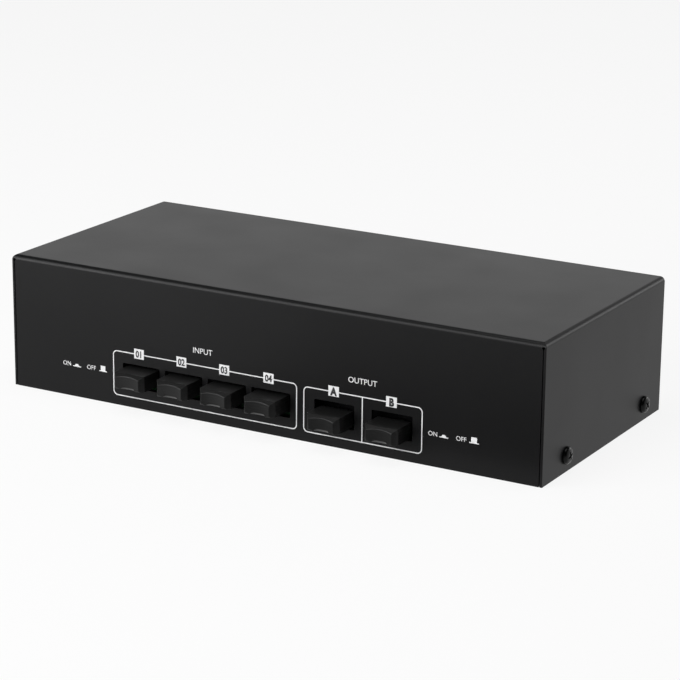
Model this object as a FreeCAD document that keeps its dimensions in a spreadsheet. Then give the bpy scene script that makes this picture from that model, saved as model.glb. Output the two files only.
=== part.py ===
"""Speaker selector switch: a folded steel case with six push keys in front and six blocks of
spring-clip terminals at the back. Millimetres, +X right, +Y to the back, +Z up, with the origin
at the centre of the case's underside."""

import FreeCAD
import Part
import math
import os
import re
import Sketcher

SIZES = {
    # folded cover: top, front and both sides in one sheet
    "case_width": 238.0,
    "case_depth": 108.0,
    "case_height": 55.0,
    "cover_sheet": 1.0,
    "cover_bend": 2.0,
    "corner_slit": 0.3,
    "corner_relief": 0.55,
    # base: floor, side flanges, front lip and rear panel in one sheet
    "base_sheet": 1.2,
    "base_bend": 1.0,
    "base_gap": 0.15,
    "flange_height": 14.0,
    "flange_end_gap": 2.0,
    "lip_height": 6.0,
    "rear_inset": 0.5,
    # black screws that hold the cover's sides to the flanges, set in from the front and the rear
    "side_screw_front": 20.5,
    "side_screw_rear": 16.0,
    "side_screw_height": 6.6,
    "side_screw_length": 6.0,
    "side_head_radius": 3.45,
    "side_head_height": 1.85,
    "screw_radius": 1.5,
    "screw_clearance": 0.2,
    "thread_clearance": 0.05,
    # shares of a screw head's height and radius that shape its dome
    "rim_share": 0.35,
    "crown_share": 0.62,
    "round_share": 0.3,
    # windows in the front for the keys
    "window_side_gap": 1.55,
    "window_gap_above": 1.15,
    "window_gap_below": 0.4,
    "window_corner": 0.5,
    # push keys
    "input_first": -56.9,
    "input_pitch": 20.0,
    "output_first": 31.3,
    "output_pitch": 25.0,
    "input_key_level": 13.55,
    "output_key_level": 11.8,
    "key_width": 14.3,
    "key_height": 6.4,
    "key_reach": 10.3,
    "key_depth": 12.5,
    "key_travel": 5.0,
    "key_side_bevel": 1.7,
    "key_side_bevel_depth": 2.2,
    "key_bottom_bevel": 1.0,
    "key_bottom_bevel_depth": 0.6,
    "key_slope_drop": 1.5,
    "key_slope_depth": 1.9,
    "key_scoop": 0.8,
    "key_socket_depth": 7.0,
    "key_socket_gap": 0.05,
    # plungers that the keys sit on
    "stem_width": 4.0,
    "stem_height": 3.0,
    "stem_gap": 0.3,
    "slider_width": 7.6,
    "slider_height": 4.4,
    "slider_length": 8.0,
    "slider_gap": 0.3,
    "slider_stop_gap": 0.1,
    "rod_radius": 1.2,
    "rod_gap": 0.3,
    "rod_end_gap": 0.4,
    "spring_inner_radius": 1.7,
    "spring_outer_radius": 2.3,
    "spring_length": 13.9,
    # switch housings, the frames over them and the sliding bar that releases the keys
    "housing_width": 13.0,
    "housing_wall": 2.0,
    "key_frame_gap": 0.8,
    "frame_sheet": 0.8,
    "frame_overhang": 2.5,
    "bar_sheet": 0.8,
    "bar_gap": 0.2,
    "bar_height": 7.0,
    "bar_travel": 1.5,
    # circuit boards and what carries them
    "board_level": 6.0,
    "board_thickness": 1.6,
    "board_end": 9.0,
    "board_front_inset": 8.0,
    "board_gap": 0.2,
    "terminal_board_end": 5.0,
    "terminal_board_rise": 1.0,
    "header_length": 120.0,
    "header_size": 2.5,
    "standoff_radius": 2.75,
    "standoff_side_inset": 21.0,
    "standoff_front_inset": 16.0,
    "standoff_middle_inset": 22.0,
    "standoff_rear_inset": 24.0,
    "standoff_hole_depth": 4.0,
    "pan_head_radius": 2.75,
    "pan_head_height": 2.0,
    "board_screw_length": 5.0,
    # terminal blocks on the rear panel
    "bezel_side_room": 6.0,
    "bezel_gap": 2.0,
    "bezel_end_room": 4.5,
    "bezel_lap": 1.9,
    "bezel_thickness": 2.0,
    "bezel_corner": 2.0,
    "block_rise": 1.0,
    "block_depth": 9.5,
    "block_wall": 1.2,
    "block_side_wall": 1.1,
    "block_web": 3.0,
    "block_back_wall": 1.5,
    "cutout_gap": 0.3,
    "screw_land": 6.0,
    "block_screw_length": 7.0,
    "lever_gap": 0.3,
    "lever_swing_room": 2.1,
    "well_depth": 8.3,
    "port_size": 4.8,
    "port_web": 1.1,
    "pivot_depth": 3.6,
    # press levers and the spring contacts behind them
    "lever_boss": 1.7,
    "lever_reach": 10.1,
    "lever_foot": 2.5,
    "lever_foot_step": 0.8,
    "lever_shoulder": 3.4,
    "lever_shoulder_rise": 1.0,
    "lever_tip_depth": 1.0,
    "lever_tip_drop": 0.6,
    "lever_tip_radius": 0.5,
    "trunnion_radius": 1.0,
    "trunnion_seat": 0.8,
    "trunnion_gap": 0.05,
    "contact_sheet": 0.5,
    "contact_width": 3.0,
    "contact_slot_gap": 0.2,
    "contact_top": 1.0,
    "contact_hook": 1.0,
    "tail_width": 2.0,
    "tail_rise": 3.4,
}

INPUTS = 4
OUTPUTS = 2
BLOCK_NAMES = ["input_1", "input_2", "input_3", "input_4", "output_a", "output_b"]

doc = FreeCAD.newDocument("speaker_selector")
sheet = doc.addObject("Spreadsheet::Sheet", "Sizes")
for row, (alias, value) in enumerate(SIZES.items(), 1):
    sheet.set(f"A{row}", alias)
    sheet.set(f"B{row}", str(value))
    sheet.setAlias(f"B{row}", alias)
doc.recompute()

# Places that several pieces share, as expressions of the sizes above.
FRONT = "(-case_depth / 2)"
COVER_INNER = "(case_width / 2 - cover_sheet)"
BASE_SIDE = "(case_width / 2 - cover_sheet - base_gap)"
REAR_FACE = "(case_depth / 2 - rear_inset)"
REAR_INNER = "(case_depth / 2 - rear_inset - base_sheet)"
BEZEL_FACE = "(case_depth / 2 - rear_inset + bezel_thickness)"
BLOCK_BACK = "(case_depth / 2 - rear_inset - block_depth)"
CONTACT_WALL = "(case_depth / 2 - rear_inset - block_depth + block_back_wall)"
PIVOT = "(case_depth / 2 - rear_inset + bezel_thickness - pivot_depth)"
SIDE_SCREWS = {"front": f"({FRONT} + side_screw_front)", "rear": "(case_depth / 2 - side_screw_rear)"}
BOARD_TOP = "(board_level + board_thickness)"
WINDOW_WIDTH = "(key_width + 2 * window_side_gap)"
WINDOW_LOW = "(output_key_level - key_height / 2 - window_gap_below)"
WINDOW_HIGH = "(input_key_level + key_height / 2 + window_gap_above)"
FRAME_SETBACK = "(key_depth - key_reach + key_travel + key_frame_gap)"
FRAME_MARGIN = "(housing_width / 2 + frame_overhang)"
BAR_SETBACK = f"({FRAME_SETBACK} + frame_sheet + bar_gap)"
HOUSING_SETBACK = f"({BAR_SETBACK} + bar_sheet + bar_gap)"
SLIDER_SETBACK = f"({HOUSING_SETBACK} + housing_wall + slider_stop_gap)"
SPRING_SETBACK = f"({SLIDER_SETBACK} + slider_length)"
HOUSING_DEPTH = "(2 * housing_wall + slider_stop_gap + slider_length + spring_length)"
STANDOFF_ACROSS = "(case_width / 2 - standoff_side_inset)"
BEZEL_WIDTH = f"((case_width - 2 * bezel_side_room + bezel_gap) / {len(BLOCK_NAMES)} - bezel_gap)"
BEZEL_HEIGHT = "(case_height - 2 * bezel_end_room)"
BLOCK_PITCH = f"({BEZEL_WIDTH} + bezel_gap)"
BLOCK_LEVEL = "(case_height / 2 + block_rise)"
BLOCK_WIDTH = f"({BEZEL_WIDTH} - 2 * screw_land)"
BLOCK_HEIGHT = f"({BEZEL_HEIGHT} - 2 * bezel_lap)"
BLOCK_SCREW_ACROSS = f"({BLOCK_WIDTH} / 2 + screw_land / 2)"
WELL_WIDTH = f"(({BLOCK_WIDTH} - block_web - 2 * block_side_wall) / 2)"
WELL_ABOVE = "(lever_boss + lever_gap)"
CELL = f"(({BLOCK_HEIGHT} - 3 * block_wall) / 2)"
WELL_BELOW = f"({CELL} - {WELL_ABOVE} - port_web - port_size)"
LEVER_ACROSS = f"(({WELL_WIDTH} + block_web) / 2)"
LEVER_FOOT_DROP = f"({WELL_BELOW} - lever_swing_room)"
LEVER_DROP = f"({LEVER_FOOT_DROP} - lever_foot_step)"
TAIL_DROP = f"({WELL_BELOW} - tail_rise)"
UPPER_PIVOT = f"({BLOCK_LEVEL} + block_wall / 2 + {CELL} - {WELL_ABOVE})"
LOWER_PIVOT = f"({BLOCK_LEVEL} - block_wall / 2 - {WELL_ABOVE})"
WELL_FLOOR = f"({BEZEL_FACE} - well_depth)"


def sized(text):
    """The expression with each size's name pointed at its cell in the sheet."""
    return re.sub(r"[a-z][a-z_0-9]*", lambda m: "Sizes." + m[0] if m[0] in SIZES else m[0], text)


def bind(obj, **expressions):
    for name, text in expressions.items():
        obj.setExpression(name, sized(text))
    return obj


def place(obj, x="0", y="0", z="0"):
    for axis, text in (("x", x), ("y", y), ("z", z)):
        obj.setExpression(f"Placement.Base.{axis}", sized(text))
    return obj


def new_body(name):
    body = doc.addObject("PartDesign::Body", name)
    body.Label = name
    return body


def new_sketch(body, name, role, offset="0"):
    """A sketch on one of the body's origin planes, moved along that plane's normal."""
    sketch = body.newObject("Sketcher::SketchObject", name)
    plane = next(item for item in body.Origin.OriginFeatures if item.Role == role)
    sketch.AttachmentSupport = [(plane, "")]
    sketch.MapMode = "FlatFace"
    sketch.setExpression("AttachmentOffset.Base.z", sized(offset))
    return sketch


def fix_point(sketch, shape, end, across, up):
    """Dimension one point of a sketch from its origin, or lay it on an axis."""
    for kind, axis, text in (("DistanceX", -2, across), ("DistanceY", -1, up)):
        if text == "0":
            sketch.addConstraint(Sketcher.Constraint("PointOnObject", shape, end, axis))
        else:
            index = sketch.addConstraint(Sketcher.Constraint(kind, -1, 1, shape, end, 1.0))
            sketch.setExpression(f"Constraints[{index}]", sized(text))


def polygon(sketch, points):
    """A closed outline through points, each given as two expressions."""
    count = len(points)
    first = sketch.GeometryCount
    start = [FreeCAD.Vector(math.cos(2 * math.pi * i / count), math.sin(2 * math.pi * i / count), 0)
             for i in range(count)]
    for i in range(count):
        sketch.addGeometry(Part.LineSegment(start[i], start[(i + 1) % count]))
    for i in range(count):
        sketch.addConstraint(Sketcher.Constraint("Coincident", first + i, 2, first + (i + 1) % count, 1))
    for i, (across, up) in enumerate(points):
        fix_point(sketch, first + i, 1, across, up)


def rectangle(sketch, left, right, low, high):
    polygon(sketch, [(left, low), (right, low), (right, high), (left, high)])


def centred(sketch, across, up, width, height):
    rectangle(sketch, f"{across} - {width} / 2", f"{across} + {width} / 2",
              f"{up} - {height} / 2", f"{up} + {height} / 2")


def circle(sketch, across, up, radius):
    shape = sketch.addGeometry(Part.Circle(FreeCAD.Vector(1, 1, 0), FreeCAD.Vector(0, 0, 1), 1))
    fix_point(sketch, shape, 3, across, up)
    index = sketch.addConstraint(Sketcher.Constraint("Radius", shape, 1.0))
    sketch.setExpression(f"Constraints[{index}]", sized(radius))


def extrude(body, kind, sketch, length, along_normal=True, both_ways=False):
    """A Pad or a Pocket of the sketch. A Pad runs along the normal and a Pocket against it
    unless it is reversed, so the wanted side is given once for both."""
    feature = body.newObject(f"PartDesign::{kind}", f"{sketch.Name}_{kind.lower()}")
    feature.Profile = sketch
    feature.Reversed = along_normal == (kind == "Pocket")
    feature.Midplane = both_ways
    bind(feature, Length=length)
    doc.recompute()
    return feature


def pad(body, sketch, length, **sides):
    return extrude(body, "Pad", sketch, length, **sides)


def pocket(body, sketch, length, **sides):
    return extrude(body, "Pocket", sketch, length, **sides)


def row_of(body, feature, sketch, axis, spacing, count):
    """Repeat a feature along a sketch axis. The axis is H_Axis or V_Axis."""
    pattern = body.newObject("PartDesign::LinearPattern", f"{feature.Name}_row")
    pattern.Originals = [feature]
    pattern.Direction = (sketch, [axis])
    pattern.Occurrences = count
    bind(pattern, Length=f"{count - 1} * {spacing}")
    body.Tip = pattern
    doc.recompute()
    return pattern


def dress(body, kind, size, edges):
    """A Fillet or a Chamfer on the tip's edges that the test picks by their middle point."""
    base = body.Tip
    feature = body.newObject(f"PartDesign::{kind}", f"{base.Name}_{kind.lower()}")
    picked = [f"Edge{i}" for i, edge in enumerate(base.Shape.Edges, 1) if edges(edge)]
    feature.Base = (base, picked)
    bind(feature, **{"Radius" if kind == "Fillet" else "Size": size})
    doc.recompute()
    return feature


def group(name, members):
    """Identical pieces that share one node, each a solid of its own."""
    compound = doc.addObject("Part::Compound", name)
    compound.Label = name
    compound.Links = members
    return compound


def number(text):
    """The present value of one size."""
    return sheet.get(text)


def crosswise(edge):
    return abs(edge.tangentAt(edge.FirstParameter).x) > 0.99


def block_across(index):
    """Where one of the row of terminal blocks has its middle."""
    return f"({index - (len(BLOCK_NAMES) - 1) / 2} * {BLOCK_PITCH})"


# Top cover: one sheet folded into the top, the front and the two sides.
def make_top_cover():
    body = new_body("top_cover")
    outline = new_sketch(body, "cover_outline", "XY_Plane")
    rectangle(outline, "-case_width / 2", "case_width / 2", FRONT, "case_depth / 2")
    block = pad(body, outline, "case_height")
    top = number("case_height")
    half = number("case_width") / 2
    front = -number("case_depth") / 2
    bends = dress(body, "Fillet", "cover_bend", lambda edge: edge.CenterOfMass.z > top - 0.01 and (
        edge.CenterOfMass.y < front + 0.01 or abs(edge.CenterOfMass.x) > half - 0.01))
    shell = body.newObject("PartDesign::Thickness", "cover_shell")
    shell.Base = (bends, [f"Face{i}" for i, face in enumerate(bends.Shape.Faces, 1)
                          if face.CenterOfMass.z < 0.01 or face.CenterOfMass.y > -front - 0.01])
    shell.Reversed = True
    bind(shell, Value="cover_sheet")
    doc.recompute()
    # the front flap stops short of the side walls, whose cut edges show beside it
    slits = new_sketch(body, "corner_slits", "XZ_Plane", "case_depth / 2")
    for side in ("-", ""):
        inner = f"{side}({COVER_INNER} - corner_slit)"
        outer = f"{side}{COVER_INNER}"
        left, right = (outer, inner) if side else (inner, outer)
        rectangle(slits, left, right, "-cover_sheet", "case_height - cover_bend")
    pocket(body, slits, "cover_sheet", along_normal=False)
    relief = new_sketch(body, "corner_reliefs", "XZ_Plane", "case_depth / 2")
    for side in ("-", ""):
        corner = f"{side}({COVER_INNER} - corner_slit / 2)"
        circle(relief, corner, "case_height - cover_bend", "corner_relief")
    pocket(body, relief, "cover_bend", along_normal=False)
    for bank, first, pitch, count in (("input", "input_first", "input_pitch", INPUTS),
                                      ("output", "output_first", "output_pitch", OUTPUTS)):
        window = new_sketch(body, f"{bank}_window", "XZ_Plane", "case_depth / 2")
        rectangle(window, f"{first} - {WINDOW_WIDTH} / 2", f"{first} + {WINDOW_WIDTH} / 2",
                  WINDOW_LOW, WINDOW_HIGH)
        hole = pocket(body, window, "2 * cover_sheet", along_normal=False)
        row_of(body, hole, window, "H_Axis", pitch, count)
    half_key = number("key_height") / 2
    low = number("output_key_level") - half_key - number("window_gap_below")
    high = number("input_key_level") + half_key + number("window_gap_above")
    sheet_middle = front + number("cover_sheet") / 2
    dress(body, "Fillet", "window_corner", lambda edge: (
        abs(edge.CenterOfMass.y - sheet_middle) < 0.01
        and min(abs(edge.CenterOfMass.z - low), abs(edge.CenterOfMass.z - high)) < 0.01
        and abs(edge.tangentAt(edge.FirstParameter).y) > 0.99))
    holes = new_sketch(body, "cover_screw_holes", "YZ_Plane")
    for along in SIDE_SCREWS.values():
        circle(holes, along, "side_screw_height", "screw_radius + screw_clearance")
    pocket(body, holes, "2 * case_width", both_ways=True)
    return body


# Base: one sheet with the floor, two side flanges, a low front lip and the whole rear panel.
def make_base():
    body = new_body("base_chassis")
    front = f"({FRONT} + cover_sheet + base_gap)"
    floor = new_sketch(body, "floor", "XY_Plane")
    rectangle(floor, f"-{BASE_SIDE}", BASE_SIDE, front, REAR_FACE)
    pad(body, floor, "base_sheet")
    flanges = new_sketch(body, "flanges", "XY_Plane")
    flange_front = f"{front} + base_sheet + flange_end_gap"
    flange_rear = f"{REAR_INNER} - flange_end_gap"
    rectangle(flanges, f"-{BASE_SIDE}", f"-({BASE_SIDE} - base_sheet)", flange_front, flange_rear)
    rectangle(flanges, f"{BASE_SIDE} - base_sheet", BASE_SIDE, flange_front, flange_rear)
    pad(body, flanges, "flange_height")
    lip = new_sketch(body, "front_lip", "XY_Plane")
    rectangle(lip, f"-({BASE_SIDE} - base_sheet - flange_end_gap)",
              f"{BASE_SIDE} - base_sheet - flange_end_gap", front, f"{front} + base_sheet")
    pad(body, lip, "lip_height")
    rear = new_sketch(body, "rear_panel", "XY_Plane")
    rectangle(rear, f"-{BASE_SIDE}", BASE_SIDE, REAR_INNER, REAR_FACE)
    pad(body, rear, "case_height - cover_sheet - base_gap")
    side = number("case_width") / 2 - number("cover_sheet") - number("base_gap")
    back = number("case_depth") / 2 - number("rear_inset")
    dress(body, "Fillet", "base_bend", lambda edge: edge.CenterOfMass.z < 0.01 and (
        abs(edge.CenterOfMass.y - back) < 0.01
        or abs(abs(edge.CenterOfMass.x) - side) < 0.01 and edge.Length > back))
    cutout = new_sketch(body, "block_cutout", "XZ_Plane", f"-{REAR_FACE}")
    centred(cutout, block_across(0), BLOCK_LEVEL, f"({BLOCK_WIDTH} + 2 * cutout_gap)",
            f"({BLOCK_HEIGHT} + 2 * cutout_gap)")
    for across in ("-", "+"):
        circle(cutout, f"{block_across(0)} {across} {BLOCK_SCREW_ACROSS}", BLOCK_LEVEL,
               "screw_radius + thread_clearance")
    hole = pocket(body, cutout, "2 * base_sheet", along_normal=True)
    row_of(body, hole, cutout, "H_Axis", BLOCK_PITCH, len(BLOCK_NAMES))
    taps = new_sketch(body, "flange_taps", "YZ_Plane")
    for along in SIDE_SCREWS.values():
        circle(taps, along, "side_screw_height", "screw_radius + thread_clearance")
    pocket(body, taps, "2 * case_width", both_ways=True)
    return body


def screw(name, head_radius, head_height, length, axis, sign):
    """A domed-head screw along one axis. Its head lies outward of its seat at the local origin."""
    body = new_body(name)
    profile = new_sketch(body, f"{name}_profile", "XY_Plane")
    polygon(profile, [("0", f"-{length}"), ("screw_radius", f"-{length}"), ("screw_radius", "0"),
                      (head_radius, "0"), (head_radius, f"{head_height} * rim_share"),
                      (f"{head_radius} * crown_share", head_height), ("0", head_height)])
    turned = body.newObject("PartDesign::Revolution", f"{name}_turned")
    turned.Profile = profile
    turned.ReferenceAxis = (profile, ["V_Axis"])
    turned.Angle = 360
    doc.recompute()
    dress(body, "Fillet", f"{head_height} * round_share", lambda edge: (
        edge.Curve.TypeId == "Part::GeomCircle" and edge.CenterOfMass.y > 0.01))
    turns = {("X", 1): ((0, 0, 1), -90), ("X", -1): ((0, 0, 1), 90),
             ("Y", 1): ((0, 0, 1), 0), ("Z", 1): ((1, 0, 0), 90)}
    direction, angle = turns[axis, sign]
    body.Placement.Rotation = FreeCAD.Rotation(FreeCAD.Vector(*direction), angle)
    return body


# Four black screws, two in each side wall.
def make_cover_screws():
    screws = []
    for sign, side in ((-1, "left"), (1, "right")):
        for end, along in SIDE_SCREWS.items():
            item = screw(f"cover_screw_{side}_{end}", "side_head_radius", "side_head_height",
                         "side_screw_length", "X", sign)
            screws.append(place(item, f"{sign} * case_width / 2", along, "side_screw_height"))
    return group("cover_screws", screws)


# Key cap: a wedge-nosed moulding with bevelled ends and a finger hollow, open at the back for
# the stem. Its own origin lies in the plane of the case's front, at the key's centre.
def make_key(name, across, level):
    body = new_body(name)
    profile = new_sketch(body, f"{name}_profile", "YZ_Plane")
    polygon(profile, [
        ("key_depth - key_reach", "-key_height / 2"),
        ("-(key_reach - key_bottom_bevel_depth)", "-key_height / 2"),
        ("-key_reach", "-(key_height / 2 - key_bottom_bevel)"),
        ("-key_reach", "key_height / 2 - key_slope_drop"),
        ("-(key_reach - key_slope_depth)", "key_height / 2"),
        ("key_depth - key_reach", "key_height / 2")])
    pad(body, profile, "key_width", both_ways=True)
    bevels = new_sketch(body, f"{name}_bevels", "XY_Plane")
    for side in ("-", ""):
        inner = f"{side}(key_width / 2 - key_side_bevel)"
        outer = f"{side}(key_width / 2 + key_side_bevel)"
        polygon(bevels, [(inner, "-key_reach"), (outer, "-key_reach"),
                         (outer, "-(key_reach - 2 * key_side_bevel_depth)")])
    pocket(body, bevels, "2 * key_height", both_ways=True)
    chord = "(key_width / 2 - key_side_bevel)"
    radius = f"(({chord} * {chord} + key_scoop * key_scoop) / (2 * key_scoop))"
    scoop = new_sketch(body, f"{name}_scoop", "XY_Plane")
    circle(scoop, "0", f"-key_reach + key_scoop - {radius}", radius)
    pocket(body, scoop, "2 * key_height", both_ways=True)
    socket = new_sketch(body, f"{name}_socket", "XZ_Plane", "-(key_depth - key_reach)")
    centred(socket, "0", "0", "(stem_width + 2 * key_socket_gap)", "(stem_height + 2 * key_socket_gap)")
    pocket(body, socket, "key_socket_depth", along_normal=True)
    return place(body, across, FRONT, level)


# Plunger: stem, sliding contact carrier and spring rod in one moulding.
def make_plunger(name, across, level):
    body = new_body(name)
    front = "(key_depth - key_reach - key_socket_depth + key_socket_gap)"
    stem = new_sketch(body, f"{name}_stem", "XZ_Plane", f"-{front}")
    centred(stem, "0", "0", "stem_width", "stem_height")
    pad(body, stem, f"{SLIDER_SETBACK} - {front}", along_normal=False)
    slider = new_sketch(body, f"{name}_slider", "XZ_Plane", f"-{SLIDER_SETBACK}")
    centred(slider, "0", "0", "slider_width", "slider_height")
    pad(body, slider, "slider_length", along_normal=False)
    rod = new_sketch(body, f"{name}_rod", "XZ_Plane", f"-{SPRING_SETBACK}")
    circle(rod, "0", "0", "rod_radius")
    pad(body, rod, "spring_length + housing_wall - key_travel - rod_end_gap", along_normal=False)
    return place(body, across, FRONT, level)


# Return spring, drawn as the sleeve that its coils fill between the slider and the rear wall.
def make_return_spring(name, across, level):
    body = new_body(name)
    sleeve = new_sketch(body, f"{name}_sleeve", "XZ_Plane", f"-{SPRING_SETBACK}")
    circle(sleeve, "0", "0", "spring_outer_radius")
    circle(sleeve, "0", "0", "spring_inner_radius")
    pad(body, sleeve, "spring_length", along_normal=False)
    return place(body, across, FRONT, level)


# Switch housing: stands on the board, with a guide for the stem, a chamber and a rear rod hole.
def make_housing(name, across, level):
    body = new_body(name)
    outer = new_sketch(body, f"{name}_outer", "XZ_Plane", f"-{HOUSING_SETBACK}")
    centred(outer, "0", "0", "housing_width", f"(2 * ({level} - {BOARD_TOP}))")
    pad(body, outer, HOUSING_DEPTH, along_normal=False)
    guide = new_sketch(body, f"{name}_guide", "XZ_Plane", f"-{HOUSING_SETBACK}")
    centred(guide, "0", "0", "(stem_width + 2 * stem_gap)", "(stem_height + 2 * stem_gap)")
    pocket(body, guide, "housing_wall", along_normal=False)
    chamber = new_sketch(body, f"{name}_chamber", "XZ_Plane", f"-({HOUSING_SETBACK} + housing_wall)")
    centred(chamber, "0", "0", "(slider_width + 2 * slider_gap)", "(slider_height + 2 * slider_gap)")
    pocket(body, chamber, f"{HOUSING_DEPTH} - 2 * housing_wall", along_normal=False)
    rod = new_sketch(body, f"{name}_rod_hole", "XZ_Plane", f"-({SPRING_SETBACK} + spring_length)")
    circle(rod, "0", "0", "rod_radius + rod_gap")
    pocket(body, rod, "housing_wall", along_normal=False)
    return place(body, across, FRONT, level)


# Bank frame: a bent steel channel over a row of housings, slotted in front for the stems.
def make_bank_frame(name, first, pitch, count, level):
    body = new_body(name)
    top = f"(2 * {level} - {BOARD_TOP})"
    left = f"({first} - {FRAME_MARGIN})"
    front = f"({FRONT} + {FRAME_SETBACK})"
    rear = f"({FRONT} + {HOUSING_SETBACK} + {HOUSING_DEPTH})"
    channel = new_sketch(body, f"{name}_channel", "YZ_Plane", left)
    polygon(channel, [
        (front, BOARD_TOP), (f"{front} + frame_sheet", BOARD_TOP), (f"{front} + frame_sheet", top),
        (rear, top), (rear, BOARD_TOP), (f"{rear} + frame_sheet", BOARD_TOP),
        (f"{rear} + frame_sheet", f"{top} + frame_sheet"), (front, f"{top} + frame_sheet")])
    pad(body, channel, f"{count - 1} * {pitch} + 2 * {FRAME_MARGIN}")
    slot = new_sketch(body, f"{name}_slot", "XZ_Plane", f"-{front}")
    centred(slot, first, level, "(stem_width + 2 * stem_gap)", "(stem_height + 2 * stem_gap)")
    hole = pocket(body, slot, "frame_sheet", along_normal=False)
    row_of(body, hole, slot, "H_Axis", pitch, count)
    return body


# Interlock bar: a steel strip that shifts sideways behind the frame to let go of a latched key.
def make_interlock_bar():
    body = new_body("interlock_bar")
    front = f"({FRONT} + {BAR_SETBACK})"
    strip = new_sketch(body, "bar_strip", "XZ_Plane", f"-{front}")
    rectangle(strip, f"input_first - {FRAME_MARGIN}", f"input_first + {INPUTS - 1} * input_pitch "
              f"+ {FRAME_MARGIN} - bar_travel", "input_key_level - bar_height / 2",
              "input_key_level + bar_height / 2")
    pad(body, strip, "bar_sheet", along_normal=False)
    slot = new_sketch(body, "bar_slot", "XZ_Plane", f"-{front}")
    rectangle(slot, "input_first - stem_width / 2 - stem_gap - bar_travel",
              "input_first + stem_width / 2 + stem_gap",
              "input_key_level - stem_height / 2 - stem_gap",
              "input_key_level + stem_height / 2 + stem_gap")
    hole = pocket(body, slot, "bar_sheet", along_normal=False)
    row_of(body, hole, slot, "H_Axis", "input_pitch", INPUTS)
    return body


STANDOFFS = [
    (f"-{STANDOFF_ACROSS}", f"{FRONT} + standoff_front_inset"),
    (STANDOFF_ACROSS, f"{FRONT} + standoff_front_inset"),
    (f"(input_first + {INPUTS - 1} * input_pitch + output_first) / 2", f"{FRONT} + standoff_middle_inset"),
    (f"-{STANDOFF_ACROSS}", "case_depth / 2 - standoff_rear_inset"),
    ("0", "case_depth / 2 - standoff_rear_inset"),
    (STANDOFF_ACROSS, "case_depth / 2 - standoff_rear_inset"),
]


# Switch board: lies on the standoffs and carries both key banks.
def make_switch_board():
    body = new_body("switch_board")
    outline = new_sketch(body, "board_outline", "XY_Plane", "board_level")
    end = f"({STANDOFF_ACROSS} + board_end)"
    rectangle(outline, f"-{end}", end, f"{FRONT} + board_front_inset",
              f"{BLOCK_BACK} - board_thickness - board_gap")
    for across, along in STANDOFFS:
        circle(outline, across, along, "screw_radius + screw_clearance")
    pad(body, outline, "board_thickness")
    return body


# Terminal board: stands behind the terminal blocks, with their tails soldered to it.
def make_terminal_board():
    body = new_body("terminal_board")
    outline = new_sketch(body, "terminal_board_outline", "XZ_Plane", f"-{BLOCK_BACK}")
    last = block_across(len(BLOCK_NAMES) - 1)
    end = f"({last} + {BLOCK_WIDTH} / 2 + terminal_board_end)"
    rectangle(outline, f"-{end}", end, BOARD_TOP,
              f"{BLOCK_LEVEL} + {BLOCK_HEIGHT} / 2 + terminal_board_rise")
    pad(body, outline, "board_thickness")
    return body


# Header that joins the two boards at their corner.
def make_header():
    body = new_body("board_header")
    outline = new_sketch(body, "header_outline", "YZ_Plane")
    back = f"({BLOCK_BACK} - board_thickness)"
    polygon(outline, [(f"{back} - header_size", BOARD_TOP), (back, BOARD_TOP),
                      (back, f"{BOARD_TOP} + header_size"),
                      (f"{back} - header_size / 2", f"{BOARD_TOP} + header_size"),
                      (f"{back} - header_size", f"{BOARD_TOP} + header_size / 2")])
    pad(body, outline, "header_length", both_ways=True)
    return body


def make_standoffs():
    posts = []
    for i, (across, along) in enumerate(STANDOFFS, 1):
        body = new_body(f"standoff_{i}")
        post = new_sketch(body, f"standoff_{i}_post", "XY_Plane", "base_sheet")
        circle(post, "0", "0", "standoff_radius")
        pad(body, post, "board_level - base_sheet")
        bore = new_sketch(body, f"standoff_{i}_bore", "XY_Plane", "board_level")
        circle(bore, "0", "0", "screw_radius + thread_clearance")
        pocket(body, bore, "standoff_hole_depth", along_normal=False)
        posts.append(place(body, across, along))
    return group("board_standoffs", posts)


def make_board_screws():
    screws = []
    for i, (across, along) in enumerate(STANDOFFS, 1):
        head = ("pan_head_radius", "pan_head_height")
        item = screw(f"board_screw_{i}", *head, "board_screw_length", "Z", 1)
        screws.append(place(item, across, along, BOARD_TOP))
    return group("board_screws", screws)


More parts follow.
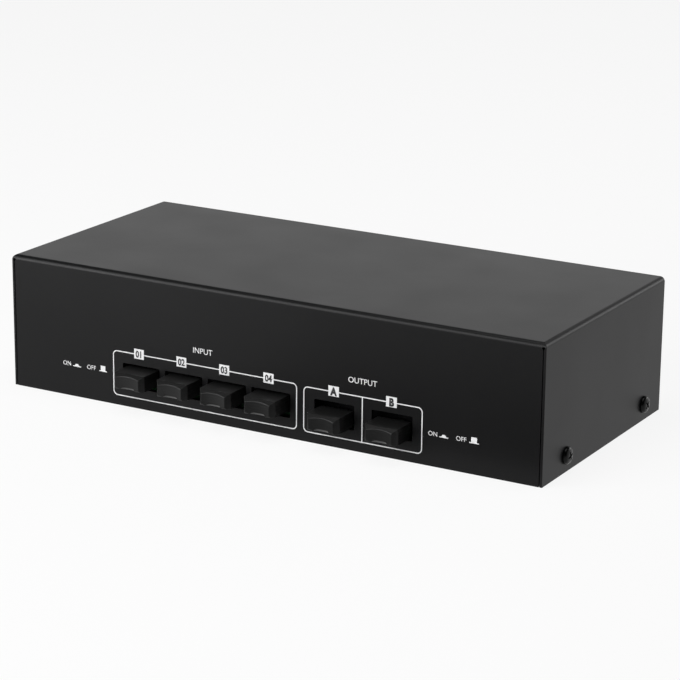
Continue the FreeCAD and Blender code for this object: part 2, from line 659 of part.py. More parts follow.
# Terminal block: a bezel on the rear panel and a body through it, with two rows of two cells.
# A cell has a well for its lever, a wire port under it and a chamber for the contact behind.
def make_terminal_block(name, across):
    body = new_body(name)
    bezel = new_sketch(body, f"{name}_bezel", "XZ_Plane", f"-{REAR_FACE}")
    centred(bezel, "0", BLOCK_LEVEL, BEZEL_WIDTH, BEZEL_HEIGHT)
    pad(body, bezel, "bezel_thickness", along_normal=False)
    dress(body, "Fillet", "bezel_corner", lambda edge: abs(edge.tangentAt(edge.FirstParameter).y) > 0.99)
    core = new_sketch(body, f"{name}_core", "XZ_Plane", f"-{REAR_FACE}")
    centred(core, "0", BLOCK_LEVEL, BLOCK_WIDTH, BLOCK_HEIGHT)
    pad(body, core, "block_depth", along_normal=True)
    cells = [(f"({side} * {LEVER_ACROSS})", pivot) for side in (-1, 1)
             for pivot in (UPPER_PIVOT, LOWER_PIVOT)]
    wells = new_sketch(body, f"{name}_wells", "XZ_Plane", f"-{BEZEL_FACE}")
    chambers = new_sketch(body, f"{name}_chambers", "XZ_Plane", f"-{WELL_FLOOR}")
    slots = new_sketch(body, f"{name}_slots", "XZ_Plane", f"-{CONTACT_WALL}")
    chamber_width = "(contact_width + 2 * contact_slot_gap)"
    for column, pivot in cells:
        rectangle(wells, f"{column} - {WELL_WIDTH} / 2", f"{column} + {WELL_WIDTH} / 2",
                  f"{pivot} - {WELL_BELOW}", f"{pivot} + {WELL_ABOVE}")
        port_top = f"{pivot} - {WELL_BELOW} - port_web"
        rectangle(wells, f"{column} - port_size / 2", f"{column} + port_size / 2",
                  f"{port_top} - port_size", port_top)
        rectangle(chambers, f"{column} - {chamber_width} / 2", f"{column} + {chamber_width} / 2",
                  f"{port_top} - port_size", f"{pivot} + contact_top + contact_slot_gap")
        centred(slots, column, f"({pivot} - {TAIL_DROP})", "(tail_width + 2 * contact_slot_gap)",
                "(contact_sheet + 2 * contact_slot_gap)")
    pocket(body, wells, "well_depth", along_normal=True)
    pocket(body, chambers, f"{WELL_FLOOR} - {CONTACT_WALL}", along_normal=True)
    pocket(body, slots, "block_back_wall", along_normal=True)
    bearings = new_sketch(body, f"{name}_bearings", "YZ_Plane")
    for pivot in (UPPER_PIVOT, LOWER_PIVOT):
        circle(bearings, PIVOT, pivot, "trunnion_radius + trunnion_gap")
    pocket(body, bearings, f"2 * {BLOCK_WIDTH}", both_ways=True)
    holes = new_sketch(body, f"{name}_screw_holes", "XZ_Plane", f"-{REAR_FACE}")
    for side in ("-", ""):
        circle(holes, f"{side}{BLOCK_SCREW_ACROSS}", BLOCK_LEVEL, "screw_radius + screw_clearance")
    pocket(body, holes, "bezel_thickness", along_normal=False)
    return place(body, across)


# Lever: a hollow-backed wedge that turns on two stub trunnions at its top. Its own origin lies
# on the trunnions' axis.
def make_lever(name, across, pivot):
    body = new_body(name)
    wedge = new_sketch(body, f"{name}_wedge", "YZ_Plane")
    polygon(wedge, [
        ("-lever_boss", "0"), ("0", "lever_boss"), ("lever_shoulder / 2", "lever_boss"),
        ("lever_shoulder", "lever_shoulder_rise"), ("lever_reach", f"-{LEVER_DROP}"),
        ("lever_reach - lever_tip_depth", f"-{LEVER_DROP} - lever_tip_drop"),
        ("lever_foot", f"-{LEVER_FOOT_DROP}"),
        ("-lever_boss / 2", "-lever_boss")])
    pad(body, wedge, f"({WELL_WIDTH} - 2 * lever_gap)", both_ways=True)
    tip = number("lever_reach") - number("lever_tip_depth")
    dress(body, "Fillet", "lever_tip_radius",
          lambda edge: crosswise(edge) and edge.CenterOfMass.y > tip - 0.01)
    trunnions = new_sketch(body, f"{name}_trunnions", "YZ_Plane")
    circle(trunnions, "0", "0", "trunnion_radius")
    pad(body, trunnions, f"{WELL_WIDTH} + 2 * trunnion_seat", both_ways=True)
    return place(body, across, PIVOT, pivot)


# Contact: a spring-steel leaf with a hook that grips the wire and a tail for the board.
def make_contact(name, across, pivot):
    body = new_body(name)
    back = f"({CONTACT_WALL} - {PIVOT})"
    foot = f"(contact_slot_gap - {WELL_BELOW} - port_web - port_size)"
    leaf = new_sketch(body, f"{name}_leaf", "YZ_Plane")
    polygon(leaf, [
        (back, "contact_top"), (back, foot), (f"{back} + contact_sheet + contact_hook", foot),
        (f"{back} + contact_sheet + contact_hook", f"{foot} + contact_sheet"),
        (f"{back} + contact_sheet", f"{foot} + contact_sheet"),
        (f"{back} + contact_sheet", "contact_top")])
    pad(body, leaf, "contact_width", both_ways=True)
    tail = new_sketch(body, f"{name}_tail", "XZ_Plane", f"-{back}")
    centred(tail, "0", f"(-{TAIL_DROP})", "tail_width", "contact_sheet")
    pad(body, tail, "block_back_wall", along_normal=True)
    return place(body, across, PIVOT, pivot)


def make_terminals():
    """Blocks, levers, contacts and screws of all six groups of terminals."""
    blocks = []
    levers = []
    contacts = []
    screws = []
    for index, name in enumerate(BLOCK_NAMES):
        middle = block_across(index)
        blocks.append(make_terminal_block(f"terminal_block_{name}", middle))
        for side, column in (("left", "-"), ("right", "+")):
            for row, pivot in (("upper", UPPER_PIVOT), ("lower", LOWER_PIVOT)):
                across = f"{middle} {column} {LEVER_ACROSS}"
                levers.append(make_lever(f"lever_{name}_{row}_{side}", across, pivot))
                contacts.append(make_contact(f"contact_{name}_{row}_{side}", across, pivot))
            item = screw(f"block_screw_{name}_{side}", "pan_head_radius", "pan_head_height",
                         "block_screw_length", "Y", 1)
            screws.append(place(item, f"{middle} {column} {BLOCK_SCREW_ACROSS}", BEZEL_FACE, BLOCK_LEVEL))
    return blocks + levers + [group("terminal_contacts", contacts), group("terminal_screws", screws)]


def make_bank(bank, names, first, pitch, level):
    """Keys, plungers, springs, housings and frame of one row of keys."""
    places = [f"({first} + {i} * {pitch})" for i in range(len(names))]
    keys = [make_key(f"{bank}_key_{n}", x, level) for n, x in zip(names, places)]
    plungers = [make_plunger(f"{bank}_plunger_{n}", x, level) for n, x in zip(names, places)]
    springs = [make_return_spring(f"{bank}_spring_{n}", x, level) for n, x in zip(names, places)]
    housings = [make_housing(f"{bank}_housing_{n}", x, level) for n, x in zip(names, places)]
    frame = make_bank_frame(f"{bank}_bank_frame", first, pitch, len(names), level)
    return keys + plungers + [group(f"{bank}_return_springs", springs),
                              group(f"{bank}_switch_housings", housings), frame]


subparts = [make_top_cover(), make_base(), make_cover_screws()]
subparts += make_bank("input", ["1", "2", "3", "4"], "input_first", "input_pitch", "input_key_level")
subparts += make_bank("output", ["a", "b"], "output_first", "output_pitch", "output_key_level")
subparts += [make_interlock_bar(), make_switch_board(), make_terminal_board(), make_header(),
             make_standoffs(), make_board_screws()]
subparts += make_terminals()
doc.recompute()

for obj in doc.Objects:
    if "Invalid" in obj.State or "Error" in obj.State:
        raise RuntimeError(f"{obj.Name} failed: {obj.State}")
for obj in subparts:
    if obj.Shape.isNull() or not obj.Shape.isValid():
        raise RuntimeError(f"{obj.Label} has no valid shape")

os.makedirs("parts", exist_ok=True)
for obj in subparts:
    obj.Shape.exportStep(f"parts/{obj.Label}.step")
    print(f"{obj.Label}: {len(obj.Shape.Solids)} solids, {obj.Shape.Volume:.1f} mm3")
print(f"{len(subparts)} nodes")
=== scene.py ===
"""Speaker selector switch, dressed for its photograph: a black powder-coated steel case with six
push keys and printed legends in front, and six blocks of spring-clip terminals at the back."""
import math

import bpy
from mathutils import Matrix, Vector


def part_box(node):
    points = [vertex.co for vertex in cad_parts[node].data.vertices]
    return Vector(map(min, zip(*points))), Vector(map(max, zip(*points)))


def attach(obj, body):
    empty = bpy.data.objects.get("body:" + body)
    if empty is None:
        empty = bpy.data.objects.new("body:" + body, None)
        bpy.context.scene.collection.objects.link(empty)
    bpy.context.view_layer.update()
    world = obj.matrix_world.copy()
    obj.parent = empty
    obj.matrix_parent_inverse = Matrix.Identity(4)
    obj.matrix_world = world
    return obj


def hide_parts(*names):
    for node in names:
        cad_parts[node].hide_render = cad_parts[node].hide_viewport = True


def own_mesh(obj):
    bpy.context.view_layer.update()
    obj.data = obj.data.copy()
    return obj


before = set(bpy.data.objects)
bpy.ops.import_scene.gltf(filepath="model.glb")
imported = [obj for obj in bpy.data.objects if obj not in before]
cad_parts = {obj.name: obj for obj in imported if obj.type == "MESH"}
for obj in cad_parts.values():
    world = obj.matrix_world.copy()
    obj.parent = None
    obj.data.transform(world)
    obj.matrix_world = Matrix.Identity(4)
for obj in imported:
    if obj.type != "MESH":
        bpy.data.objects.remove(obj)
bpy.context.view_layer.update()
mm = 0.001
INPUTS = ("1", "2", "3", "4")
OUTPUTS = ("a", "b")
BLOCKS = [f"input_{n}" for n in INPUTS] + [f"output_{n}" for n in OUTPUTS]


# Case cover: one sheet of 1 mm steel folded into the top, the front and the sides, then powder
# coated in satin black. The coat is a little thick at cut edges, so they catch a thin light.
COVER_EDGE = 0.12 * mm
COVER_BLACK = "#0c0c0d"
SHARP = math.radians(24)
COPLANAR = math.radians(0.5)
SAME_POINT = 0.001 * mm
COAT_GRAIN = 0.45 * mm
COAT_CLOUD = 30 * mm


def colour(code):
    """Linear colour of an sRGB hex value."""
    parts = [int(code[i:i + 2], 16) / 255 for i in (1, 3, 5)]
    return [c / 12.92 if c <= 0.04045 else ((c + 0.055) / 1.055) ** 2.4 for c in parts] + [1.0]


def add(tree, kind, settings=None, **links):
    """Add a node, set its properties and sockets, and link other nodes' outputs into it."""
    node = tree.nodes.new("ShaderNode" + kind)
    for name, value in (settings or {}).items():
        if name in node.inputs:
            node.inputs[name].default_value = value
        else:
            setattr(node, name, value)
    for name, source in links.items():
        tree.links.new(source, node.inputs[name.replace("_", " ")])
    return node


def new_material(name):
    """An empty material, its node tree and its Object coordinates."""
    material = bpy.data.materials.new(name)
    material.use_nodes = True
    tree = material.node_tree
    tree.nodes.clear()
    return material, tree, add(tree, "TexCoord").outputs["Object"]


def finish_with(tree, shader):
    """Send a shader to the material's output."""
    add(tree, "OutputMaterial", Surface=shader)


def alone(obj):
    """Select one object and nothing else."""
    bpy.ops.object.select_all(action="DESELECT")
    obj.select_set(True)
    bpy.context.view_layer.objects.active = obj


def soften(piece, edge, steps=2):
    """Round a piece's sharp edges and shade it smooth between them."""
    alone(piece)
    bevel = piece.modifiers.new("edges", "BEVEL")
    bevel.width = edge
    bevel.segments = steps
    bevel.limit_method = "ANGLE"
    bevel.angle_limit = SHARP
    bevel.use_clamp_overlap = False
    bpy.ops.object.modifier_apply(modifier=bevel.name)
    bpy.ops.object.shade_smooth_by_angle(angle=SHARP)
    flats = piece.modifiers.new("flats", "WEIGHTED_NORMAL")
    flats.keep_sharp = True
    bpy.ops.object.modifier_apply(modifier=flats.name)
    return piece


def plain_shape(node, name):
    """A new piece with a CAD node's shape, its flat faces whole."""
    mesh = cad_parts[node].data.copy()
    piece = bpy.data.objects.new(name, mesh)
    bpy.context.scene.collection.objects.link(piece)
    mesh.materials.clear()
    alone(piece)
    bpy.ops.object.mode_set(mode="EDIT")
    bpy.ops.mesh.select_all(action="SELECT")
    bpy.ops.mesh.remove_doubles(threshold=SAME_POINT)
    bpy.ops.mesh.dissolve_limited(angle_limit=COPLANAR)
    bpy.ops.object.mode_set(mode="OBJECT")
    return piece


def shape_of(node, name, edge):
    """A CAD node's shape with its sharp edges rounded."""
    return soften(plain_shape(node, name), edge)


def hand_over(piece, body, slot, material, *nodes):
    """Give a finished piece its material and its body, and hide the CAD nodes that it stands for."""
    piece.data.materials.clear()
    piece.data.materials.append(material)
    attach(piece, body)
    if nodes:
        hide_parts(*nodes)


def powder_coat():
    """Polyester powder coat on steel: satin, with a fine orange peel and faint clouds of sheen."""
    material, tree, place = new_material("powder_coat")
    grain = add(tree, "TexNoise", {"Scale": 1 / COAT_GRAIN, "Detail": 2.0}, Vector=place)
    clouds = add(tree, "TexNoise", {"Scale": 1 / COAT_CLOUD, "Detail": 3.0}, Vector=place)
    sheen = add(tree, "MapRange", {"To Min": 0.33, "To Max": 0.41}, Value=clouds.outputs["Fac"])
    peel = add(tree, "Bump", {"Strength": 0.08, "Distance": 0.02 * mm}, Height=grain.outputs["Fac"])
    coat = add(tree, "BsdfPrincipled", {"Base Color": colour(COVER_BLACK), "IOR": 1.25},
               Roughness=sheen.outputs["Result"], Normal=peel.outputs["Normal"])
    finish_with(tree, coat.outputs["BSDF"])
    return material


coat = powder_coat()
hand_over(shape_of("top_cover", "case_cover", COVER_EDGE), "case", "painted_steel", coat, "top_cover")

# Base: a second folded sheet in the same coat, with the floor, two flanges and the rear panel. It
# stands inside the cover, whose sides are screwed to it.
hand_over(shape_of("base_chassis", "case_base", COVER_EDGE), "case", "painted_steel", coat,
          "base_chassis")

# Front print: pad-printed in pale ink. A thin frame runs round each bank of keys, with a number or
# letter tag on its top line over every key, and an ON and OFF legend stands beside each bank. A
# frame is given as left, right, low and high, a tag as its middle, and FIGURE and LETTER as height
# and weight.
INK_THICKNESS = 0.03 * mm
INK_PALE = "#e9e9ea"
INK_DARK = "#1d1d1e"
LINE_WIDTH = 0.42 * mm
FRAME_CORNER = 2.0 * mm
CORNER_STEPS = 6
INPUT_FRAME = (-70.3 * mm, 14.9 * mm, 4.0 * mm, 22.7 * mm)
OUTPUT_FRAME = (17.7 * mm, 69.3 * mm, 3.9 * mm, 22.3 * mm)
OUTPUT_DIVIDER = 43.5 * mm
SYMBOL_LINE = 0.35 * mm
SYMBOL_SIDE = 0.2
DOME_LEAN = 0.8
TAG_SIZE = (4.6 * mm, 4.1 * mm)
FIGURE = (2.7 * mm, 0.03)
LETTER = (3.1 * mm, 0.06)
NARROW = 0.85
LEGEND_CAP = 1.75 * mm
HEADING_CAP = 2.2 * mm
LEFT_LEVEL = 12.6 * mm
RIGHT_LEVEL = 12.1 * mm
INK_GRAIN = 0.6 * mm
TAGS = (("01", -57.8 * mm, 22.7 * mm), ("02", -37.8 * mm, 22.7 * mm), ("03", -18.0 * mm, 22.7 * mm),
        ("04", 2.1 * mm, 22.7 * mm), ("A", 31.0 * mm, 22.3 * mm), ("B", 56.0 * mm, 22.3 * mm))
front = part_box("top_cover")[0].y


def ink(name, code):
    """Pad-printing ink: flat and slightly chalky, with a faintly uneven cover."""
    material, tree, place = new_material(name)
    uneven = add(tree, "TexNoise", {"Scale": 1 / INK_GRAIN, "Detail": 2.0}, Vector=place)
    shade = add(tree, "MapRange", {"To Min": 0.5, "To Max": 0.62}, Value=uneven.outputs["Fac"])
    face = add(tree, "BsdfPrincipled", {"Base Color": colour(code), "IOR": 1.5},
               Roughness=shade.outputs["Result"])
    finish_with(tree, face.outputs["BSDF"])
    return material


def flat_shape(name, left, right, low, high, depth=0.0):
    """A thin rectangle of ink that lies on the case's front, facing out."""
    bpy.ops.object.select_all(action="DESELECT")
    bpy.ops.mesh.primitive_cube_add(size=1)
    shape = bpy.context.object
    shape.name = name
    size = Vector((right - left, INK_THICKNESS, high - low))
    middle = Vector(((left + right) / 2, front - depth - INK_THICKNESS / 2, (low + high) / 2))
    shape.data.transform(Matrix.Translation(middle) @ Matrix.Diagonal((*size, 1)))
    return shape


def line_frame(name, left, right, low, high):
    """A rounded rectangle drawn as one line: a plate with round corners, inset and emptied."""
    shape = flat_shape(name, left, right, low, high)
    bpy.ops.object.mode_set(mode="EDIT")
    bpy.ops.mesh.select_mode(type="EDGE")
    bpy.ops.mesh.select_all(action="DESELECT")
    bpy.ops.object.mode_set(mode="OBJECT")
    for edge in shape.data.edges:
        ends = [shape.data.vertices[v].co for v in edge.vertices]
        edge.select = abs(ends[0].y - ends[1].y) > INK_THICKNESS / 2
    bpy.ops.object.mode_set(mode="EDIT")
    bpy.ops.mesh.bevel(offset=FRAME_CORNER, segments=CORNER_STEPS, affect="EDGES")
    bpy.ops.mesh.select_mode(type="FACE")
    bpy.ops.mesh.select_all(action="DESELECT")
    bpy.ops.object.mode_set(mode="OBJECT")
    for face in shape.data.polygons:
        face.select = abs(face.normal.y) > 0.9
    bpy.ops.object.mode_set(mode="EDIT")
    bpy.ops.mesh.inset(thickness=LINE_WIDTH)
    bpy.ops.mesh.bridge_edge_loops()
    bpy.ops.object.mode_set(mode="OBJECT")
    return shape


def lettering(name, text, middle, low, cap_height, depth=0.0, weight=0.0, width=1.0, rear=None):
    """Words on the case's front, or on a face at rear, centred across, standing on a level."""
    bpy.ops.object.select_all(action="DESELECT")
    bpy.ops.object.text_add()
    words = bpy.context.object
    words.name = name
    words.data.body = text
    words.data.align_x = "CENTER"
    words.data.size = 1.0
    words.data.offset = weight
    words.data.resolution_u = 4
    bpy.ops.object.convert(target="MESH")
    words = bpy.context.object
    tall = max(v.co.y for v in words.data.vertices)
    scale = cap_height / tall
    face = front - depth - INK_THICKNESS
    turn = Matrix.Rotation(math.radians(90), 4, "X")
    if rear is not None:
        face = rear + INK_THICKNESS
        turn = Matrix.Rotation(math.radians(180), 4, "Z") @ turn
    stand = Matrix.Translation((middle, face, low))
    words.data.transform(stand @ turn @ Matrix.Diagonal((scale * width, scale, scale, 1)))
    solid = words.modifiers.new("ink", "SOLIDIFY")
    solid.thickness = INK_THICKNESS
    solid.offset = -1
    bpy.ops.object.modifier_apply(modifier=solid.name)
    return words


def joined(name, shapes):
    """Several shapes as one piece."""
    bpy.ops.object.select_all(action="DESELECT")
    for shape in shapes:
        shape.select_set(True)
    bpy.context.view_layer.objects.active = shapes[0]
    if len(shapes) > 1:
        bpy.ops.object.join()
    shapes[0].name = name
    return shapes[0]


def symbol(name, left, right, low, high, raised):
    """The mark of a push button over its base line: a low dome when in, a tall block when out."""
    base_line = flat_shape(name + "_line", left, right, low, low + SYMBOL_LINE)
    side = (right - left) * SYMBOL_SIDE
    button = flat_shape(name, left + side, right - side, low + SYMBOL_LINE, high)
    if not raised:
        for corner in button.data.vertices:
            if corner.co.z > (low + high) / 2:
                corner.co.x += math.copysign(side * DOME_LEAN, (left + right) / 2 - corner.co.x)
    return [base_line, button]


pale_ink = ink("pale_ink", INK_PALE)
dark_ink = ink("dark_ink", INK_DARK)
frames = [line_frame("input_frame", *INPUT_FRAME), line_frame("output_frame", *OUTPUT_FRAME)]
frames.append(flat_shape("divider", OUTPUT_DIVIDER - LINE_WIDTH / 2, OUTPUT_DIVIDER + LINE_WIDTH / 2,
                         OUTPUT_FRAME[2] + LINE_WIDTH, OUTPUT_FRAME[3] - LINE_WIDTH))
hand_over(joined("bank_frames", frames), "case", "painted_steel", pale_ink)

tags = []
figures = []
for text, across, level in TAGS:
    wide, tall = TAG_SIZE
    tags.append(flat_shape("tag", across - wide / 2, across + wide / 2, level - tall / 2,
                           level + tall / 2, depth=INK_THICKNESS))
    cap, weight = FIGURE if len(text) > 1 else LETTER
    figures.append(lettering("figure", text, across, level - cap / 2, cap, depth=2 * INK_THICKNESS,
                             weight=weight, width=NARROW))
hand_over(joined("key_tags", tags), "case", "painted_steel", pale_ink)
hand_over(joined("key_figures", figures), "case", "painted_steel", dark_ink)

legends = [
    lettering("on_left", "ON", -92.75 * mm, LEFT_LEVEL, LEGEND_CAP),
    lettering("off_left", "OFF", -80.9 * mm, LEFT_LEVEL, LEGEND_CAP),
    lettering("on_right", "ON", 73.7 * mm, RIGHT_LEVEL, LEGEND_CAP),
    lettering("off_right", "OFF", 85.6 * mm, RIGHT_LEVEL, LEGEND_CAP),
    lettering("inputs", "INPUT", -28.0 * mm, 27.5 * mm, HEADING_CAP),
    lettering("outputs", "OUTPUT", 43.5 * mm, 27.1 * mm, HEADING_CAP),
]
legends += symbol("in_left", -89.9 * mm, -86.0 * mm, LEFT_LEVEL, 13.75 * mm, raised=False)
legends += symbol("out_left", -77.1 * mm, -73.4 * mm, LEFT_LEVEL, 15.0 * mm, raised=True)
legends += symbol("in_right", 76.5 * mm, 80.2 * mm, RIGHT_LEVEL, 13.25 * mm, raised=False)
legends += symbol("out_right", 88.9 * mm, 92.9 * mm, RIGHT_LEVEL, 14.5 * mm, raised=True)
hand_over(joined("legends", legends), "case", "painted_steel", pale_ink)

# Keys: six black ABS caps, each with a shelf on top, a sloped nose, a hollow for the fingertip,
# bevelled ends and a bevel under the nose that mirrors the table. The mould leaves them satin.
KEY_EDGE = 0.18 * mm
NOSE_BEVEL = 1.1 * mm
NOSE_DEPTH = 1.2 * mm
NOSE_SIDE = 5.7 * mm
LEVEL_MARGIN = 0.01 * mm
KEY_BLACK = "#191919"
RIB_PITCH = 1.05 * mm


def moulded(name, code, roughness, grain=0.25 * mm, strength=0.06, ior=1.5, ribs=0.0):
    """Injection-moulded plastic: an even colour, a soft sheen, the fine texture of its mould and,
    where asked, faint level ribs."""
    material, tree, place = new_material(name)
    texture = add(tree, "TexNoise", {"Scale": 1 / grain, "Detail": 3.0}, Vector=place)
    sheen = add(tree, "MapRange", {"To Min": roughness - 0.04, "To Max": roughness + 0.05},
                Value=texture.outputs["Fac"])
    relief = add(tree, "Bump", {"Strength": strength, "Distance": 0.02 * mm},
                 Height=texture.outputs["Fac"])
    if ribs:
        # At a scale of 1 the waves are pi / 10 long.
        waves = add(tree, "TexWave", {"bands_direction": "Z", "Scale": math.pi / 10 / ribs},
                    Vector=place)
        relief = add(tree, "Bump", {"Strength": 0.3, "Distance": 0.06 * mm},
                     Height=waves.outputs["Fac"], Normal=relief.outputs["Normal"])
    plastic = add(tree, "BsdfPrincipled", {"Base Color": colour(code), "IOR": ior},
                  Roughness=sheen.outputs["Result"], Normal=relief.outputs["Normal"])
    finish_with(tree, plastic.outputs["BSDF"])
    return material


def bevel_nose(cap):
    """Bevel the edges along the bottom of a key's front, in and beside its hollow."""
    spots = [v.co for v in cap.data.vertices]
    low = Vector([min(spot[i] for spot in spots) for i in range(3)])
    middle = (low.x + max(spot.x for spot in spots)) / 2
    bpy.ops.object.mode_set(mode="EDIT")
    bpy.ops.mesh.select_mode(type="EDGE")
    bpy.ops.mesh.select_all(action="DESELECT")
    bpy.ops.object.mode_set(mode="OBJECT")
    for edge in cap.data.edges:
        edge.select = all(spot.z < low.z + LEVEL_MARGIN and spot.y < low.y + NOSE_DEPTH
                          and abs(spot.x - middle) < NOSE_SIDE
                          for spot in (spots[v] for v in edge.vertices))
    bpy.ops.object.mode_set(mode="EDIT")
    bpy.ops.mesh.bevel(offset=NOSE_BEVEL, segments=1, affect="EDGES")
    bpy.ops.object.mode_set(mode="OBJECT")
    return cap


key_plastic = moulded("key_abs", KEY_BLACK, 0.3, ior=1.27, ribs=RIB_PITCH)
for bank, names in (("input", INPUTS), ("output", OUTPUTS)):
    for n in names:
        node = f"{bank}_key_{n}"
        cap = soften(bevel_nose(plain_shape(node, f"{node}_cap")), KEY_EDGE)
        hand_over(cap, node, "key_plastic", key_plastic, node)

# Cover screws: four M3 screws with low domed heads and a cross recess, blackened steel. A head is given
# as its radius and height, its profile as shares of its height and radius, and its recess as shares
# too. Neighbouring screws are never turned alike.
HEAD_STEPS = 32
SHANK_STEPS = 16
HEAD_PROFILE = ((0.35, 1.0), (0.62, 0.92), (0.82, 0.78), (0.94, 0.6), (1.0, 0.38))
HEAD_SHARP = math.radians(40)
RECESS_WIDTH = 0.75 * mm
RECESS_LENGTH = 1.05
RECESS_DEPTH = 1.5
RECESS_LEVEL = 1.15
SIDE_HEAD = (3.45 * mm, 1.85 * mm)
SHANK = 1.5 * mm
SIDE_SCREW_LENGTH = 6 * mm
OXIDE_RUB = 0.8 * mm
SCREW_BLACK = "#030303"


def blackened_steel():
    """Black oxide on steel: a dark, slightly oily sheen, duller where it is rubbed."""
    material, tree, place = new_material("black_oxide")
    rub = add(tree, "TexNoise", {"Scale": 1 / OXIDE_RUB, "Detail": 4.0}, Vector=place)
    sheen = add(tree, "MapRange", {"To Min": 0.18, "To Max": 0.3}, Value=rub.outputs["Fac"])
    steel = add(tree, "BsdfPrincipled", {"Base Color": colour(SCREW_BLACK), "IOR": 1.25},
                Roughness=sheen.outputs["Result"])
    finish_with(tree, steel.outputs["BSDF"])
    return material


def domed_screw(name, head_radius, head_height, shank_radius, length):
    """A screw along Z, its seat at the origin: a turned profile with a cross cut into its head."""
    bpy.ops.object.select_all(action="DESELECT")
    bpy.ops.mesh.primitive_circle_add(vertices=HEAD_STEPS, radius=head_radius, fill_type="NGON")
    head = bpy.context.object
    head.name = name
    bpy.ops.object.mode_set(mode="EDIT")
    bpy.ops.mesh.select_mode(type="FACE")
    bpy.ops.mesh.select_all(action="SELECT")
    reached = 0.0
    width = 1.0
    for height, share in HEAD_PROFILE:
        bpy.ops.mesh.extrude_region_move(
            TRANSFORM_OT_translate={"value": (0, 0, (height - reached) * head_height)})
        bpy.ops.transform.resize(value=(share / width, share / width, 1), center_override=(0, 0, 0))
        reached = height
        width = share
    bpy.ops.mesh.select_all(action="SELECT")
    bpy.ops.mesh.normals_make_consistent()
    bpy.ops.object.mode_set(mode="OBJECT")
    arm = head_radius * RECESS_LENGTH
    for across, along in ((arm, RECESS_WIDTH), (RECESS_WIDTH, arm)):
        bpy.ops.object.select_all(action="DESELECT")
        bpy.ops.mesh.primitive_cube_add(size=1)
        cutter = bpy.context.object
        cutter.data.transform(Matrix.Translation((0, 0, head_height * RECESS_LEVEL))
                              @ Matrix.Diagonal((across, along, head_height * RECESS_DEPTH, 1)))
        alone(head)
        cut = head.modifiers.new("recess", "BOOLEAN")
        cut.operation = "DIFFERENCE"
        cut.object = cutter
        bpy.ops.object.modifier_apply(modifier=cut.name)
        bpy.data.objects.remove(cutter)
    bpy.ops.object.select_all(action="DESELECT")
    bpy.ops.mesh.primitive_cylinder_add(vertices=SHANK_STEPS, radius=shank_radius, depth=length)
    shank = bpy.context.object
    shank.data.transform(Matrix.Translation((0, 0, -length / 2)))
    screw = joined(name, [head, shank])
    alone(screw)
    bpy.ops.object.shade_smooth_by_angle(angle=HEAD_SHARP)
    return screw


def repeat(model, name, places):
    """Copies of a model at the given places, each with its own mesh, joined as one piece."""
    copies = []
    for i, place in enumerate(places):
        copy = bpy.data.objects.new(f"{name}_{i}", model.data.copy())
        bpy.context.scene.collection.objects.link(copy)
        copy.data.transform(place)
        copies.append(copy)
    return joined(name, copies)


def pointing(where, direction, turn=0.0):
    """The placement that turns a model's Z axis along a direction, at a place."""
    to = Vector(direction).to_track_quat("Z", "Y").to_matrix().to_4x4()
    return Matrix.Translation(where) @ to @ Matrix.Rotation(turn, 4, "Z")


blackened = blackened_steel()
low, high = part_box("cover_screws")
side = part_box("top_cover")[1].x
level = low.z + SIDE_HEAD[0]
rows = (low.y + SIDE_HEAD[0], high.y - SIDE_HEAD[0])
model = domed_screw("side_screw", *SIDE_HEAD, SHANK, SIDE_SCREW_LENGTH)
places = [pointing((sign * side, row, level), (sign, 0, 0), turn=math.radians(18 + 25 * k))
          for sign in (-1, 1) for k, row in enumerate(rows)]
hand_over(repeat(model, "side_screws", places), "case", "black_screw", blackened, "cover_screws")
bpy.data.objects.remove(model)

# Switches behind the keys: black housings on the board, black acetal plungers, coiled return springs,
# a blackened frame over each bank, and a sliding bar that lets a latched input key go.
HOUSING_EDGE = 0.15 * mm
SHEET_EDGE = 0.08 * mm
STEM_EDGE = 0.12 * mm
SPRING_WIRE = 0.28 * mm
WIRE_STEPS = 8
SPRING_TURNS = 9
SPRING_STEPS = 20


def plated(name, code, roughness):
    """Plated steel: bright metal with the faint long scratches of the rolled sheet."""
    material, tree, place = new_material(name)
    along = add(tree, "Mapping", {"Scale": (40, 900, 900)}, Vector=place)
    scratches = add(tree, "TexNoise", {"Scale": 6.0, "Detail": 4.0}, Vector=along.outputs["Vector"])
    sheen = add(tree, "MapRange", {"To Min": roughness - 0.08, "To Max": roughness + 0.1},
                Value=scratches.outputs["Fac"])
    metal = add(tree, "BsdfPrincipled", {"Base Color": colour(code), "Metallic": 1.0},
                Roughness=sheen.outputs["Result"])
    finish_with(tree, metal.outputs["BSDF"])
    return material


